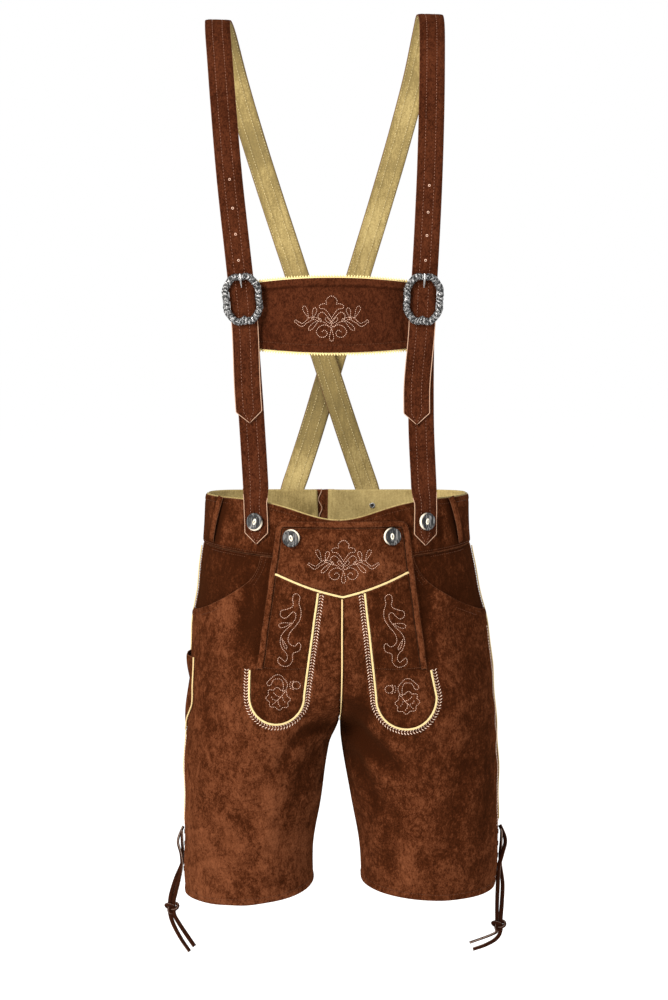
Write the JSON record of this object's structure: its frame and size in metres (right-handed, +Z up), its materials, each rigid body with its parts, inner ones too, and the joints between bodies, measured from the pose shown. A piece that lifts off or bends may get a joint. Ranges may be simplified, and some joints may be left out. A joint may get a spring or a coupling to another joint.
{
  "type": "lederhosen",
  "caption": "Knee-length suede trousers with a front flap, embroidery, piping, laced side vents and crossed braces joined by a chest piece.",
  "frame": {"origin": "on the shoulder line, in the garment's middle plane, where a wearer's shoulders carry the braces", "axes": "+Z up, the front faces -Y and the wearer's left is +X"},
  "size_m": [0.4551, 0.2582, 1.2205],
  "materials": {
    "suede": "napped brown suede",
    "brace_suede": "napped reddish brown suede",
    "lace_suede": "brown suede lace with pale cut edges",
    "lining": "smooth tan lining leather",
    "piping": "cream leather piping",
    "thread": "pinkish beige embroidery thread",
    "silver": "antique silver relief",
    "horn": "dark striped horn",
    "antler": "ivory-coloured antler"
  },
  "bodies": {
    "root": {"back_gusset": "suede", "back_panel_left": "suede", "back_panel_right": "suede", "belt_loop_back_left": "suede", "belt_loop_back_right": "suede", "belt_loop_front_left": "suede", "belt_loop_front_right": "suede", "brace_button_back_left": "horn", "brace_button_back_right": "horn", "brace_button_front_left": "horn", "brace_button_front_right": "horn", "brace_left": "brace_suede", "brace_lining_left": "lining", "brace_lining_right": "lining", "brace_right": "brace_suede", "brace_tab_left": "brace_suede", "brace_tab_lining_left": "lining", "brace_tab_lining_right": "lining", "brace_tab_right": "brace_suede", "buckle_left": "silver", "buckle_prong_left": "silver", "buckle_prong_right": "silver", "buckle_right": "silver", "centre_piping": "piping", "chest_backing": "piping", "chest_piece": "brace_suede", "flap_binding": "suede", "flap_button_left": "horn", "flap_button_right": "horn", "flap_yoke": "suede", "front_panel_left": "suede", "front_panel_right": "suede", "knife_pocket": "suede", "knife_pocket_piping": "piping", "lace_knot_left": "lace_suede", "lace_knot_right": "lace_suede", "lace_left_inner": "lace_suede", "lace_left_outer": "lace_suede", "lace_right_inner": "lace_suede", "lace_right_outer": "lace_suede", "pocket_facing_left": "suede", "pocket_facing_right": "suede", "shield_left": "suede", "shield_piping_left": "piping", "shield_piping_right": "piping", "shield_right": "suede", "side_piping_left": "piping", "side_piping_right_lower": "piping", "side_piping_right_upper": "piping", "waistband_back_left": "suede", "waistband_back_right": "suede", "waistband_front_left": "suede", "waistband_front_right": "suede", "waistband_lining_back_left": "lining", "waistband_lining_back_right": "lining", "waistband_lining_front_left": "lining", "waistband_lining_front_right": "lining", "yoke_piping": "piping"}
  },
  "joints": []
}
